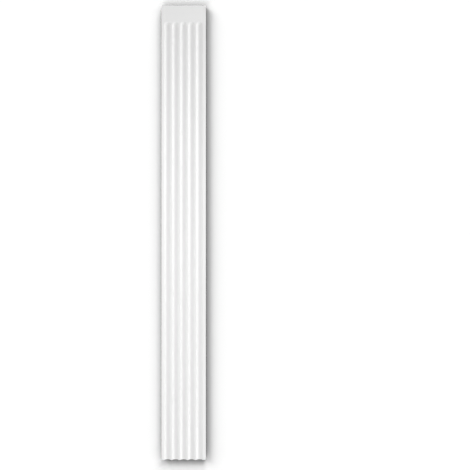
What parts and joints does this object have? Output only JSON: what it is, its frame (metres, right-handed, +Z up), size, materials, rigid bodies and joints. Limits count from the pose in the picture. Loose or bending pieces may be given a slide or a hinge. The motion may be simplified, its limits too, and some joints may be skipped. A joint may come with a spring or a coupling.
{
  "type": "fluted pilaster shaft",
  "caption": "Flat white moulded pilaster shaft with round-headed flutes that run out at the foot, made to be bonded to a wall as door or wall trim.",
  "frame": {"origin": "middle of the flat back, halfway up the shaft, where the wall holds it", "axes": "+Z up along the shaft, +Y out of the back into the wall, -Y out of the fluted front, +X to the right seen from the front"},
  "size_m": [0.194, 0.022, 2],
  "materials": {
    "white_primer": "smooth moulded rigid foam with a white, slightly silky primer coat"
  },
  "bodies": {
    "root": {"pilaster_shaft": "white_primer"}
  },
  "joints": []
}
